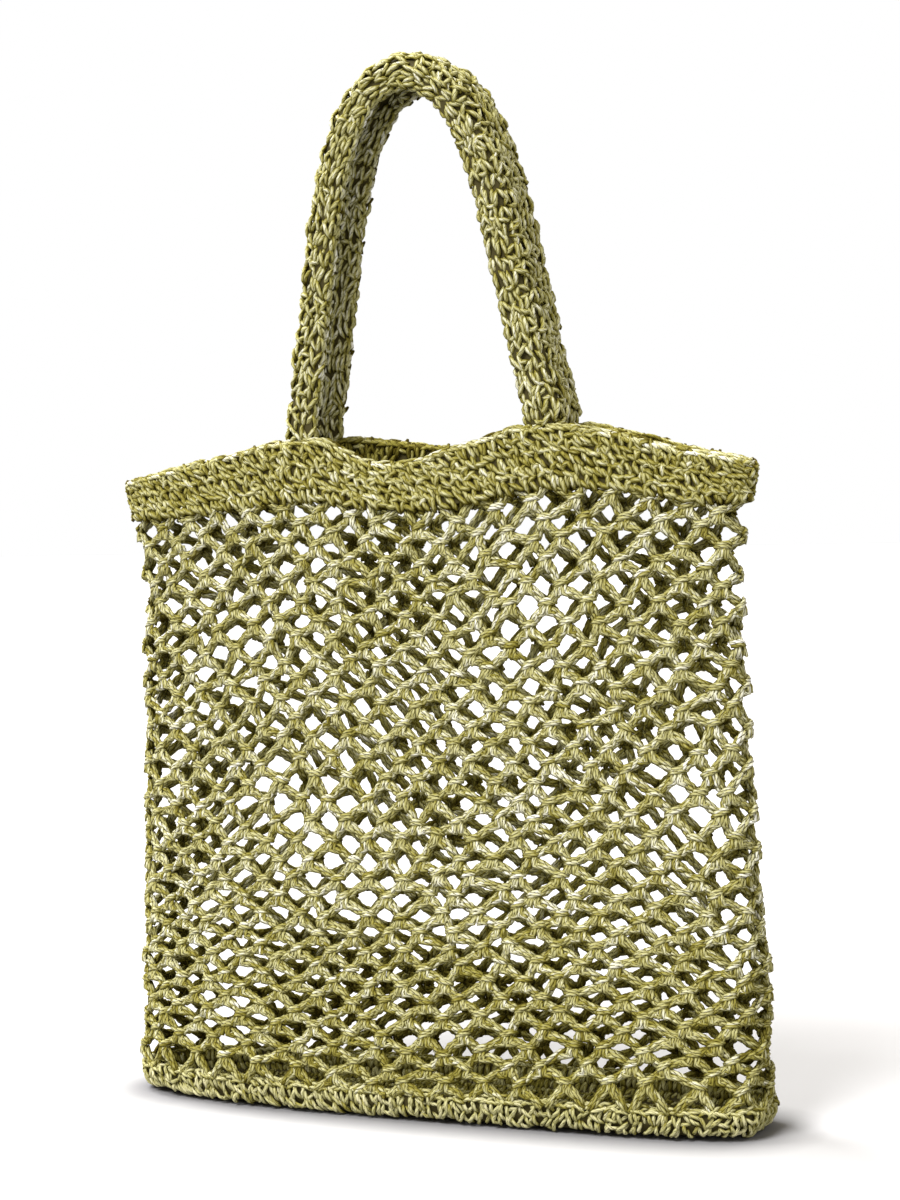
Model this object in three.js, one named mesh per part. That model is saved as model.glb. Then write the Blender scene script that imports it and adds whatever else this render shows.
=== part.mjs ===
// A crocheted straw tote bag: a flat base, two faces of open net, a firm rim band and one arched handle.
// Millimetres. X runs along the width, the front faces -Y, Z is up and the floor is z = 0.
import * as THREE from 'three';
import { mergeGeometries, mergeVertices } from 'three/addons/utils/BufferGeometryUtils.js';

// Driving dimensions
const SEAT_GAP = 0.3;
const WALL = { rim: 5, net: 4.5, base: 5, side: 7 };
const BASE_HEIGHT = 17;
const RIM_LEVEL = 390;
const NET = { columns: 7, rows: 9, gap: 0.68, sides: 8 };
const HANDLE = { depth: 39, thickness: 17.5, wall: 5, bend: 8.5, lean: 1.3 };
const FINISH = { colour: 0xa8a367, roughness: 0.78, metalness: 0 };

// Plan outline of the bag at each height. Squareness 2 is an ellipse, more is nearer to a rectangle.
// The corner column is the squareness of the front right corner, which stands out more at the base.
const SECTIONS = [
  { z: 0, halfWidth: 184, halfDepth: 30, squareness: 2.5, corner: 4.5 },
  { z: 3.5, halfWidth: 196, halfDepth: 39.5, squareness: 2.5, corner: 5 },
  { z: 9, halfWidth: 201, halfDepth: 42.5, squareness: 2.5, corner: 5 },
  { z: 24, halfWidth: 203, halfDepth: 43.5, squareness: 2.5, corner: 4.2 },
  { z: 110, halfWidth: 201, halfDepth: 40, squareness: 2.3, corner: 2.5 },
  { z: 210, halfWidth: 197, halfDepth: 34, squareness: 2.15, corner: 2.15 },
  { z: 300, halfWidth: 194, halfDepth: 27.5, squareness: 2.05, corner: 2.05 },
  { z: 340, halfWidth: 196, halfDepth: 24, squareness: 2, corner: 2 },
  { z: 377, halfWidth: 202, halfDepth: 22.5, squareness: 2, corner: 2 },
  { z: 400, halfWidth: 204, halfDepth: 22, squareness: 2, corner: 2 },
];

// Heights of the rim across the bag: its top edge at front and back, sagging between peaks, and its lower edge
const RIM_EDGE = [
  { x: -204, front: 374.5, back: 374.5, low: 352.5 },
  { x: -175, front: 379.5, back: 379.5, low: 353 },
  { x: -150, front: 384.5, back: 384.5, low: 356 },
  { x: -112, front: 390.5, back: 391, low: 359 },
  { x: -86, front: 396, back: 396, low: 362 },
  { x: -60, front: 396.6, back: 396.6, low: 362 },
  { x: -44, front: 390, back: 395.5, low: 359.5 },
  { x: -28, front: 383, back: 393.5, low: 357.5 },
  { x: -14, front: 381.2, back: 391.8, low: 356 },
  { x: 2, front: 382.3, back: 389.8, low: 355 },
  { x: 18, front: 386.2, back: 389, low: 356 },
  { x: 36, front: 391, back: 391, low: 358.5 },
  { x: 52, front: 395, back: 395, low: 362 },
  { x: 68, front: 399.5, back: 399.5, low: 365 },
  { x: 96, front: 400.1, back: 400.1, low: 366.5 },
  { x: 118, front: 396, back: 396, low: 365 },
  { x: 150, front: 387.8, back: 387.8, low: 361 },
  { x: 175, front: 382.3, back: 382.3, low: 355.5 },
  { x: 204, front: 377, back: 377, low: 355 },
];

// Middle line of half of the handle, from a foot up to the crown, before it leans
const HANDLE_LINE = [
  { x: 77.2, z: 398 + SEAT_GAP },
  { x: 77.2, z: 408 },
  { x: 73, z: 428 },
  { x: 67.2, z: 460 },
  { x: 60.7, z: 495 },
  { x: 54.2, z: 528 },
  { x: 46.7, z: 556 },
  { x: 36.5, z: 580.8 },
  { x: 20.6, z: 599.6 },
  { x: 0, z: 607.2 },
];

// Steps around the closed bands, four to each half column of the net, and along the handle
const BAND_STEPS = 16 * NET.columns;
const HANDLE_STEPS = 40;

// Value of one column of a table at a place between its rows, on a smooth curve that never overshoots a row
function tableValue(table, key, column, at) {
  const last = table.length - 1;
  const place = THREE.MathUtils.clamp(at, table[0][key], table[last][key]);
  const next = Math.max(table.findIndex((row) => row[key] >= place), 1);
  const rise = (i) => (table[i][column] - table[i - 1][column]) / (table[i][key] - table[i - 1][key]);
  const slope = (i) => {
    if (i === 0) return rise(1);
    if (i === last) return rise(last);
    const [before, after] = [rise(i), rise(i + 1)];
    return before * after > 0 ? (2 * before * after) / (before + after) : 0;
  };
  const step = table[next][key] - table[next - 1][key];
  const t = (place - table[next - 1][key]) / step;
  const start = (1 + 2 * t) * (1 - t) ** 2 * table[next - 1][column];
  const end = t ** 2 * (3 - 2 * t) * table[next][column];
  return start + end + step * (t * (1 - t) ** 2 * slope(next - 1) + t ** 2 * (t - 1) * slope(next));
}

// One turn around a section, from the left corner along the front to the right corner and back
class PlanCurve extends THREE.Curve {
  constructor(section) {
    super();
    this.section = section;
    this.arcLengthDivisions = 360;
  }

  getPoint(t, target = new THREE.Vector3()) {
    const { halfWidth, halfDepth, squareness, corner } = this.section;
    const [x, y] = [Math.cos(2 * Math.PI * t), Math.sin(2 * Math.PI * t)];
    const power = t > 0.25 && t < 0.5 ? corner : squareness;
    const reach = (Math.abs(x) ** power + Math.abs(y) ** power) ** (-1 / power);
    return target.set(-halfWidth * reach * x, -halfDepth * reach * y, 0);
  }
}

// A place on the bag's wall. around: 0 to 1 along the outline. inset: 0 on the outside, 1 on the inside.
function onWall(around, z, inset, wall, share = 1) {
  const section = new PlanCurve({
    halfWidth: tableValue(SECTIONS, 'z', 'halfWidth', z) - inset * WALL.side,
    halfDepth: tableValue(SECTIONS, 'z', 'halfDepth', z) - inset * wall,
    squareness: tableValue(SECTIONS, 'z', 'squareness', z),
    corner: tableValue(SECTIONS, 'z', 'corner', z),
  });
  return section.getPointAt(((around % 1) + 1) % 1).multiplyScalar(share).setZ(z);
}

// Height of one of the rim's edges at a place along the outline
function rimHeight(column, around) {
  return tableValue(RIM_EDGE, 'x', column, onWall(around, RIM_LEVEL, 0, WALL.rim).x);
}

// Height of the rim's top edge, at the front for the first half of the outline
function rimTop(around) {
  const share = ((around % 1) + 1) % 1;
  return rimHeight(share < 0.5 ? 'front' : 'back', share);
}

// Height of the rim's lower edge, which runs straight between the points where the net hangs
function rimBottom(around) {
  const step = around * 4 * NET.columns;
  const ends = [Math.floor(step), Math.ceil(step)];
  const [before, after] = ends.map((at) => rimHeight('low', at / 4 / NET.columns));
  return THREE.MathUtils.lerp(before, after, step - Math.floor(step));
}

// Moves each vertex of a geometry, joins vertices that meet and works out the normals
function reshaped(geometry, move) {
  const plain = new THREE.BufferGeometry();
  plain.setAttribute('position', geometry.getAttribute('position').clone());
  plain.setIndex(geometry.getIndex());
  const place = plain.getAttribute('position');
  const vertex = new THREE.Vector3();
  for (let i = 0; i < place.count; i += 1) {
    const moved = move(vertex.fromBufferAttribute(place, i));
    place.setXYZ(i, moved.x, moved.y, moved.z);
  }
  const merged = mergeVertices(plain, 1e-3);
  merged.computeVertexNormals();
  return merged;
}

// A closed band of rows turned around the bag. Each row gives its share of the outline, inset and height.
function band(rows, wall, heightOf) {
  const profile = rows.map((row, index) => new THREE.Vector2(row.share, index));
  return reshaped(new THREE.LatheGeometry(profile, BAND_STEPS), (vertex) => {
    const row = rows[Math.round(vertex.y)];
    const around = Math.atan2(vertex.x, vertex.z) / (2 * Math.PI);
    return onWall(around, heightOf(row, around), row.inset, wall, row.share);
  });
}

// The base: a flat bottom with a low wall, open at the top
function baseGeometry() {
  const rows = [
    { share: 0, inset: 0, z: 0 },
    { share: 1, inset: 0, z: 0 },
    { share: 1, inset: 0, z: 3.5 },
    { share: 1, inset: 0, z: 9 },
    { share: 1, inset: 0, z: BASE_HEIGHT },
    { share: 1, inset: 1, z: BASE_HEIGHT },
    { share: 1, inset: 1, z: 9 },
    { share: 0.97, inset: 1, z: WALL.base },
    { share: 0, inset: 1, z: WALL.base },
  ];
  return band(rows, WALL.base, (row) => row.z);
}

// The rim: a firm band around the mouth, its edges following the peaks below the handle
function rimGeometry() {
  const rows = [
    { share: 1, inset: 0, drop: 1 },
    { share: 1, inset: 0, drop: 0.5 },
    { share: 1, inset: 0, drop: 0 },
    { share: 1, inset: 1, drop: 0 },
    { share: 1, inset: 1, drop: 0.5 },
    { share: 1, inset: 1, drop: 1 },
    { share: 1, inset: 0, drop: 1 },
  ];
  return band(rows, WALL.rim, (row, around) => {
    return THREE.MathUtils.lerp(rimTop(around), rimBottom(around), row.drop);
  });
}

// One diamond of the net on a flat sheet, bent from a round shape whose radius is 1 at the diamond's edge
function diamond(round, x, y) {
  return reshaped(round, (vertex) => {
    const radius = Math.hypot(vertex.x, vertex.y);
    const pull = radius / Math.max(Math.abs(vertex.x) + Math.abs(vertex.y), 1e-9);
    return vertex.set(x + vertex.x * pull, y + vertex.y * pull, 0);
  });
}

// The whole sheet, in half diamonds: staggered, with half gaps at the sides and solid halves at base and rim
function netSheet() {
  const cells = [];
  for (let row = 0; row <= NET.rows + 1; row += 1) {
    const atEnd = row === 0 || row > NET.rows;
    const endStart = row === 0 ? 0 : Math.PI;
    for (let column = (row + 1) % 2; column <= 2 * NET.columns; column += 2) {
      const atSide = column === 0 || column === 2 * NET.columns;
      const sideStart = column === 0 ? -Math.PI / 2 : Math.PI / 2;
      let round = new THREE.RingGeometry(NET.gap, 1, NET.sides, 1);
      if (atEnd) round = new THREE.CircleGeometry(1, NET.sides / 2, endStart, Math.PI);
      if (atSide) round = new THREE.RingGeometry(NET.gap, 1, NET.sides / 2, 1, sideStart, Math.PI);
      cells.push(diamond(round, column, row).deleteAttribute('normal'));
    }
  }
  return mergeVertices(mergeGeometries(cells), 1e-3);
}

// A flat sheet given a wall one unit thick, closed along all its edges
function thickened(sheet) {
  const flat = sheet.getAttribute('position');
  const triangles = [];
  const edges = new Set();
  const corners = Array.from(sheet.getIndex().array);
  for (let i = 0; i < corners.length; i += 3) {
    const [a, b, c] = corners.slice(i, i + 3);
    triangles.push(c, b, a, a + flat.count, b + flat.count, c + flat.count);
    [[a, b], [b, c], [c, a]].forEach(([from, to]) => edges.add(`${from} ${to}`));
  }
  for (const edge of edges) {
    const [from, to] = edge.split(' ').map(Number);
    if (edges.has(`${to} ${from}`)) continue;
    triangles.push(from, to, to + flat.count, from, to + flat.count, from + flat.count);
  }
  const place = new Float32Array([...flat.array, ...flat.array]);
  for (let i = flat.count; i < 2 * flat.count; i += 1) place[3 * i + 2] = 1;
  const wall = new THREE.BufferGeometry();
  wall.setAttribute('position', new THREE.BufferAttribute(place, 3));
  wall.setIndex(triangles);
  return wall;
}

// One face of the net between base and rim. face: 0 for the front, 1 for the back.
function netGeometry(face) {
  const low = BASE_HEIGHT + SEAT_GAP;
  const side = face === 0 ? -1 : 1;
  return reshaped(thickened(netSheet()), (vertex) => {
    const around = (face + vertex.x / NET.columns / 2) / 2;
    const z = THREE.MathUtils.lerp(low, rimBottom(around) - SEAT_GAP, vertex.y / (NET.rows + 1));
    const placed = onWall(around, z, 1 - vertex.z, WALL.net);
    placed.y += (side * SEAT_GAP) / 2;
    return placed;
  });
}

// Section of the handle, a band curled into a channel that opens to the inside of the arch
function handleSection() {
  const half = { depth: HANDLE.depth / 2, thickness: HANDLE.thickness / 2 };
  const inner = { depth: half.depth - HANDLE.wall, bend: HANDLE.bend - HANDLE.wall };
  const web = -half.thickness;
  const section = new THREE.Shape();
  section.moveTo(-half.depth, half.thickness);
  section.lineTo(-half.depth, web + HANDLE.bend);
  section.absarc(-half.depth + HANDLE.bend, web + HANDLE.bend, HANDLE.bend, Math.PI, 1.5 * Math.PI);
  section.absarc(half.depth - HANDLE.bend, web + HANDLE.bend, HANDLE.bend, 1.5 * Math.PI, 2 * Math.PI);
  section.lineTo(half.depth, half.thickness);
  section.lineTo(inner.depth, half.thickness);
  section.absarc(inner.depth - inner.bend, web + HANDLE.bend, inner.bend, 2 * Math.PI, 1.5 * Math.PI, true);
  section.absarc(inner.bend - inner.depth, web + HANDLE.bend, inner.bend, 1.5 * Math.PI, Math.PI, true);
  section.lineTo(-inner.depth, half.thickness);
  section.closePath();
  return section;
}

// The handle: the curled band swept over the arch, leaning a little and standing on the rim's peaks
function handleGeometry() {
  const right = HANDLE_LINE.map((row) => new THREE.Vector3(row.x, 0, row.z));
  const left = HANDLE_LINE.slice(0, -1).map((row) => new THREE.Vector3(-row.x, 0, row.z));
  const crown = right[right.length - 1].clone();
  const lean = THREE.MathUtils.degToRad(-HANDLE.lean);
  const leaning = [...left, ...right.reverse()].map((point) => {
    return point.clone().sub(crown).applyAxisAngle(new THREE.Vector3(0, 1, 0), lean).add(crown);
  });
  const line = new THREE.CatmullRomCurve3(leaning);
  const sweep = { steps: HANDLE_STEPS, curveSegments: 2, extrudePath: line, bevelEnabled: false };
  return reshaped(new THREE.ExtrudeGeometry(handleSection(), sweep), (vertex) => vertex);
}

const bag = new THREE.Group();

// Adds one named piece of straw to the bag
function addPiece(name, geometry) {
  const { colour, roughness, metalness } = FINISH;
  const piece = new THREE.Mesh(geometry, new THREE.MeshStandardMaterial({ color: colour, roughness, metalness }));
  piece.name = name;
  bag.add(piece);
}

addPiece('base', baseGeometry());
addPiece('net_front', netGeometry(0));
addPiece('net_back', netGeometry(1));
addPiece('rim', rimGeometry());
addPiece('handle', handleGeometry());

export default bag;
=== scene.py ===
"""A crocheted straw tote bag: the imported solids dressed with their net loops, stitches and studio."""

import logging
import math
from dataclasses import dataclass, replace
from enum import Enum

import bmesh
import bpy
import numpy as np
from mathutils import Matrix, Vector


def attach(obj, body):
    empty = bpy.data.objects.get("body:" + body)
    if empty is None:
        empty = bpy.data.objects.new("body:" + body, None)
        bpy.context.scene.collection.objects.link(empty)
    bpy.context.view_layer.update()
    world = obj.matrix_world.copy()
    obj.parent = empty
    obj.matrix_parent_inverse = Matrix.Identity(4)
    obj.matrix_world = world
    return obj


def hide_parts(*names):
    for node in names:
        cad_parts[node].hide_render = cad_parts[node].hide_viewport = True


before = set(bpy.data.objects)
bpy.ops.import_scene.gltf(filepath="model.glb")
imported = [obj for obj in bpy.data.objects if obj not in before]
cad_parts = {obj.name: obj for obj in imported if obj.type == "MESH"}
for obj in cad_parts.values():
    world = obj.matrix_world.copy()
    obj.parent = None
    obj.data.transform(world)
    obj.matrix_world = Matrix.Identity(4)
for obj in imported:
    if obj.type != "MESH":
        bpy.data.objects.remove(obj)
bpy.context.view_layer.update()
MM = 0.001
MID_WALL = 0.5
UP = np.array([0.0, 0.0, 1.0])
FRONT = np.array([0.0, -1.0, 0.0])
SMALLEST = 1e-9
Array = np.ndarray
log = logging.getLogger("tote")


def unit(vectors: Array) -> Array:
    """Vectors scaled to length one along the last axis."""
    length = np.linalg.norm(vectors, axis=-1, keepdims=True)
    return vectors / np.maximum(length, SMALLEST)


def run_along(points: Array) -> Array:
    """The way run along a line, from 0 at its first point."""
    return np.concatenate([[0], np.linalg.norm(np.diff(points, axis=0), axis=1).cumsum()])


def hermite(t: Array, ends: tuple[Array, Array], slopes: tuple[Array, Array]) -> Array:
    """Places on a curve between two points.

    Args:
        t: 0 at the first point, 1 at the second.
        ends: The two points.
        slopes: The curve's directions at them, as long as the whole step.

    Returns:
        The places.
    """
    start = (1 + 2 * t) * (1 - t) ** 2 * ends[0] + t * (1 - t) ** 2 * slopes[0]
    end = t**2 * (3 - 2 * t) * ends[1] + t**2 * (t - 1) * slopes[1]
    return start + end


def smooth_curve(places: Array, values: Array, at: Array) -> Array:
    """A smooth curve through a table's rows that never overshoots one.

    Args:
        places: The column the table is read by, rising.
        values: The column that is read.
        at: Where to read it, held to the table's ends.

    Returns:
        The values at those places.
    """
    rise = np.diff(values) / np.diff(places)
    before, after = rise[:-1], rise[1:]
    total = np.where(before * after > 0, before + after, 1.0)
    inner = np.where(before * after > 0, 2 * before * after / total, 0.0)
    slope = np.concatenate([rise[:1], inner, rise[-1:]])
    at = np.clip(at, places[0], places[-1])
    i = np.clip(np.searchsorted(places, at) - 1, 0, len(places) - 2)
    step = places[i + 1] - places[i]
    t = (at - places[i]) / step
    return hermite(t, (values[i], values[i + 1]), (step * slope[i], step * slope[i + 1]))


def add_object(name: str, data: bpy.types.ID) -> bpy.types.Object:
    """Adds an object to the scene, at the origin.

    Args:
        name: Its name.
        data: Its mesh, light or camera.

    Returns:
        The object.
    """
    item = bpy.data.objects.new(name, data)
    bpy.context.scene.collection.objects.link(item)
    return item


@dataclass
class Patch:
    """Places on a surface for stitches, in millimetres.

    Fields are arrays of one row a stitch: its middle, and directions across, up and out of the surface.
    """

    centre: Array
    across: Array
    up: Array
    out: Array

    def some(self, chosen: Array) -> "Patch":
        """The places that are chosen."""
        return Patch(self.centre[chosen], self.across[chosen], self.up[chosen], self.out[chosen])

    def place(self, right: Array, high: Array, proud: Array) -> Array:
        """Points given in each stitch's own directions.

        Args:
            right: Millimetres across, a row a stitch and a column a point.
            high: Millimetres up, likewise.
            proud: Millimetres out of the surface, likewise.

        Returns:
            Points of shape (stitches, points, 3).
        """
        along = right[..., None] * self.across[:, None] + high[..., None] * self.up[:, None]
        return self.centre[:, None] + along + proud[..., None] * self.out[:, None]

    def outward(self, points: int) -> Array:
        """The directions out of the surface, repeated for each point of a strand."""
        return np.repeat(self.out[:, None], points, axis=1)


@dataclass(frozen=True)
class Section:
    """Plan outline of the bag at one height.

    Squareness 2 is an ellipse; `corner` is the squareness of the front right corner.
    """

    z: float
    half_width: float
    half_depth: float
    squareness: float
    corner: float


@dataclass(frozen=True)
class RimPoint:
    """Heights of the rim at one place across the bag: its top edge at front and back, and its lower edge."""

    x: float
    front: float
    back: float
    low: float


@dataclass
class BagForm:
    """The bag's walls as smooth surfaces, in the solids' own sizes (millimetres).

    `side_step` (a share of the outline) and `up_step` are the steps over which a wall's directions are read.
    Surfaces further into the wall than the share `inner_from` face the hollow.
    """

    sections: tuple[Section, ...] = (
        Section(0, 184, 30, 2.5, 4.5),
        Section(3.5, 196, 39.5, 2.5, 5),
        Section(9, 201, 42.5, 2.5, 5),
        Section(24, 203, 43.5, 2.5, 4.2),
        Section(110, 201, 40, 2.3, 2.5),
        Section(210, 197, 34, 2.15, 2.15),
        Section(300, 194, 27.5, 2.05, 2.05),
        Section(340, 196, 24, 2, 2),
        Section(377, 202, 22.5, 2, 2),
        Section(400, 204, 22, 2, 2),
    )
    rim_edge: tuple[RimPoint, ...] = (
        RimPoint(-204, 374.5, 374.5, 352.5),
        RimPoint(-175, 379.5, 379.5, 353),
        RimPoint(-150, 384.5, 384.5, 356),
        RimPoint(-112, 390.5, 391, 359),
        RimPoint(-86, 396, 396, 362),
        RimPoint(-60, 396.6, 396.6, 362),
        RimPoint(-44, 390, 395.5, 359.5),
        RimPoint(-28, 383, 393.5, 357.5),
        RimPoint(-14, 381.2, 391.8, 356),
        RimPoint(2, 382.3, 389.8, 355),
        RimPoint(18, 386.2, 389, 356),
        RimPoint(36, 391, 391, 358.5),
        RimPoint(52, 395, 395, 362),
        RimPoint(68, 399.5, 399.5, 365),
        RimPoint(96, 400.1, 400.1, 366.5),
        RimPoint(118, 396, 396, 365),
        RimPoint(150, 387.8, 387.8, 361),
        RimPoint(175, 382.3, 382.3, 355.5),
        RimPoint(204, 377, 377, 355),
    )
    base_height: float = 17.0
    rim_level: float = 390.0
    side_wall: float = 7.0
    steps: int = 360
    side_step: float = 0.0017
    up_step: float = 2.0
    inner_from: float = 0.75

    def column(self, name: str, z: Array) -> Array:
        """One column of the sections at some heights.

        Args:
            name: The column's name.
            z: Heights.

        Returns:
            The column's values there.
        """
        heights = np.array([row.z for row in self.sections], float)
        values = np.array([getattr(row, name) for row in self.sections], float)
        return smooth_curve(heights, values, z)

    def outline(self, z: Array, inset: float, wall: float) -> tuple[Array, Array, Array]:
        """The outlines at some heights, from the left corner over the front and round again.

        Args:
            z: Heights.
            inset: 0 on the outside of the wall, 1 on the inside.
            wall: Thickness of the wall at front and back.

        Returns:
            The outlines' x, their y and the way run along them, a row a height.
        """
        turn = np.linspace(0, 2 * math.pi, self.steps + 1)[None]
        x, y = np.cos(turn), np.sin(turn)
        corner = (turn > math.pi / 2) & (turn < math.pi)
        power = np.where(corner, self.column("corner", z)[:, None], self.column("squareness", z)[:, None])
        reach = (np.abs(x) ** power + np.abs(y) ** power) ** (-1 / power)
        x = -(self.column("half_width", z)[:, None] - inset * self.side_wall) * reach * x
        y = -(self.column("half_depth", z)[:, None] - inset * wall) * reach * y
        run = np.hypot(np.diff(x, axis=1), np.diff(y, axis=1)).cumsum(axis=1)
        return x, y, np.concatenate([np.zeros((len(z), 1)), run], axis=1)

    def girth(self, z: float) -> float:
        """Length of the outline at a height."""
        return float(self.outline(np.array([z]), 0.0, 0.0)[2][0, -1])

    def wall(
        self, around: Array, z: Array, inset: float = 0.0, wall: float = 5.0, share: float = 1.0
    ) -> Array:
        """Places on a wall.

        Args:
            around: 0 to 1 along the outline, from the left corner over the front.
            z: Heights.
            inset: 0 on the outside of the wall, 1 on the inside.
            wall: Thickness of the wall at front and back.
            share: Share of the outline's size, for places on the bottom.

        Returns:
            Points of shape (places, 3).
        """
        x, y, run = self.outline(z, inset, wall)
        at = np.mod(around, 1.0) * run[:, -1]
        i = np.clip((run <= at[:, None]).sum(axis=1) - 1, 0, self.steps - 1)
        row = np.arange(len(z))
        t = (at - run[row, i]) / (run[row, i + 1] - run[row, i])
        x = x[row, i] + t * (x[row, i + 1] - x[row, i])
        y = y[row, i] + t * (y[row, i + 1] - y[row, i])
        return np.stack([share * x, share * y, z], axis=-1)

    def rim_heights(self, around: Array) -> tuple[Array, Array]:
        """Heights of the rim's top and lower edge above places along the outline.

        Args:
            around: 0 to 1 along the outline, from the left corner over the front.

        Returns:
            The top edge's heights and the lower edge's.
        """
        x = self.wall(around, np.full(len(around), self.rim_level))[:, 0]
        names = ("x", "front", "back", "low")
        places, *edges = [np.array([getattr(row, name) for row in self.rim_edge], float) for name in names]
        front, back, low = [smooth_curve(places, edge, x) for edge in edges]
        return np.where(np.mod(around, 1.0) < 0.5, front, back), low

    def wall_patch(self, around: Array, z: Array, inset: float, wall: float, lift: float) -> Patch:
        """Stitch places on a wall; on its inside they face the hollow.

        Args:
            around: 0 to 1 along the outline.
            z: Heights.
            inset: 0 on the outside of the wall, 1 on the inside.
            wall: Thickness of the wall.
            lift: Millimetres that the stitches' middles stand off the surface.

        Returns:
            The places with their directions.
        """
        step, rise = self.side_step, self.up_step
        across = unit(self.wall(around + step, z, inset, wall) - self.wall(around - step, z, inset, wall))
        up = unit(self.wall(around, z + rise, inset, wall) - self.wall(around, z - rise, inset, wall))
        out = unit(np.cross(across, up))
        facing = -1.0 if inset > self.inner_from else 1.0
        centre = self.wall(around, z, inset, wall) + facing * lift * out
        return Patch(centre, facing * across, up, facing * out)


@dataclass(frozen=True)
class StrandCut:
    """Section of one strand of straw: half its width and depth, its sides and the share left at its ends.

    Painted shade darkens its tone where its ends dip below its neighbours and towards the side that lies in
    the crochet, by the two fields after `ends` in that order; it shifts from strand to strand by `variety`.
    Its middle line wanders by `crumple`.
    """

    half_width: float
    half_depth: float
    sides: int = 4
    ends: float = 0.6
    end_painted_shade: float = 0.35
    side_painted_shade: float = 0.4
    variety: float = 1.0
    crumple: float = 0.16


class StrandMesh:
    """Strands of straw gathered as arrays and joined into one mesh.

    A strand's tone is 0 to 1 around `MID_TONE`; `BELL` is how closely chance keeps to it, `DIP` how
    suddenly the painted shade darkens the ends, `MAP_RANGE` the millimetres of map that strands take their
    streaks from, and `CAP_PLACE` the place on the map of their closed ends.
    """

    MID_TONE = 0.5
    BELL = 5
    DIP = 3
    MAP_RANGE = 900
    CAP_PLACE = 0.5

    def __init__(self, seed: int) -> None:
        """Starts an empty set of strands.

        Args:
            seed: Seed of all that chance decides in them.
        """
        self.chance = np.random.default_rng(seed)
        self.points: list[Array] = []
        self.sides: list[tuple[Array, Array]] = []
        self.caps: list[tuple[Array, Array]] = []
        self.tones: list[Array] = []
        self.count = 0

    def add(self, paths: Array, outward: Array, cut: StrandCut, tone: Array | float = 0.0) -> None:
        """Sweeps a strand along each path.

        Args:
            paths: Middle lines in millimetres, of shape (strands, points, 3).
            outward: Directions out of the surface, likewise.
            cut: The strands' section.
            tone: Added to the strands' tone; one value, or one for each strand.
        """
        strands, steps, _ = paths.shape
        paths = paths + self.chance.normal(0, cut.crumple, paths.shape)
        along = unit(np.gradient(paths, axis=1))
        across = unit(np.cross(along, outward))
        out = np.cross(across, along)
        size = np.ones(steps)
        size[[0, -1]] = cut.ends
        angle = 2 * math.pi * np.arange(cut.sides) / cut.sides
        flat = cut.half_width * size[:, None] * np.cos(angle)
        deep = cut.half_depth * size[:, None] * np.sin(angle)
        rings = paths[:, :, None] + flat[..., None] * across[:, :, None] + deep[..., None] * out[:, :, None]
        self.points.append(rings.reshape(-1, 3))
        run = np.linalg.norm(np.diff(paths, axis=1), axis=-1).cumsum(axis=1)
        run = np.concatenate([np.zeros((strands, 1)), run], axis=1)
        self.add_faces(run + self.chance.uniform(0, self.MAP_RANGE, (strands, 1)), cut.sides)
        luck = self.chance.beta(self.BELL, self.BELL, (strands, 1, 1)) - self.MID_TONE
        shade = self.MID_TONE + cut.variety * luck + np.reshape(tone, (-1, 1, 1))
        # Painted shade: darker where the ends dip below their neighbours and towards the side that lies in
        # the crochet.
        shade = shade - cut.end_painted_shade * np.abs(np.linspace(-1, 1, steps))[:, None] ** self.DIP
        self.tones.append((shade - cut.side_painted_shade * (1 - np.sin(angle)) / 2).ravel())

    def add_faces(self, run: Array, sides: int) -> None:
        """Adds the sides and the closed ends of strands, with their map.

        Args:
            run: Millimetres along each strand at its points, of shape (strands, points).
            sides: Sides of a strand.
        """
        index = self.count + np.arange(run.size * sides).reshape(*run.shape, sides)
        turned = np.roll(index, -1, axis=2)
        quads = np.stack([index[:, :-1], index[:, 1:], turned[:, 1:], turned[:, :-1]], axis=-1)
        low = np.broadcast_to(np.arange(sides) / sides, quads.shape[:-1])
        high = low + 1 / sides
        start, end = [np.broadcast_to(part[..., None], low.shape) for part in (run[:, :-1], run[:, 1:])]
        corners = [np.stack(pair, axis=-1) for pair in ((low, start), (low, end), (high, end), (high, start))]
        self.sides.append((quads.reshape(-1, 4), np.stack(corners, axis=-2).reshape(-1, 2)))
        caps = np.stack([index[:, 0], index[:, -1, ::-1]], axis=1)
        caps_at = np.broadcast_to(run[:, [0, -1]][..., None], caps.shape)
        plan = np.stack([np.full(caps.shape, self.CAP_PLACE), caps_at], axis=-1)
        self.caps.append((caps.reshape(-1, sides), plan.reshape(-1, 2)))
        self.count += index.size

    def build(self, name: str, finish: bpy.types.Material) -> bpy.types.Object:
        """Joins the strands into one piece of the bag.

        Args:
            name: The piece's name.
            finish: Its material.

        Returns:
            The new object, at the origin.
        """
        mesh = bpy.data.meshes.new(name)
        points = np.concatenate(self.points) * MM
        faces = self.sides + self.caps
        corners = np.concatenate([face.ravel() for face, _ in faces])
        maps = np.concatenate([plan for _, plan in faces])
        sizes = np.concatenate([np.full(len(face), face.shape[1]) for face, _ in faces])
        mesh.vertices.add(len(points))
        mesh.vertices.foreach_set("co", points.astype(np.float32).ravel())
        mesh.loops.add(len(corners))
        mesh.loops.foreach_set("vertex_index", corners.astype(np.int32))
        mesh.polygons.add(len(sizes))
        mesh.polygons.foreach_set("loop_start", (np.cumsum(sizes) - sizes).astype(np.int32))
        mesh.polygons.foreach_set("use_smooth", np.ones(len(sizes), bool))
        mesh.uv_layers.new(name="Strand").uv.foreach_set("vector", maps.astype(np.float32).ravel())
        tone = mesh.attributes.new("tone", "FLOAT", "POINT")
        tone.data.foreach_set("value", np.concatenate(self.tones).astype(np.float32))
        mesh.update(calc_edges=True)
        mesh.validate()
        mesh.materials.append(finish)
        piece = add_object(name, mesh)
        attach(piece, "root")
        log.info("%s: %d triangles", name, int((sizes - 2).sum()))
        return piece


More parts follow.
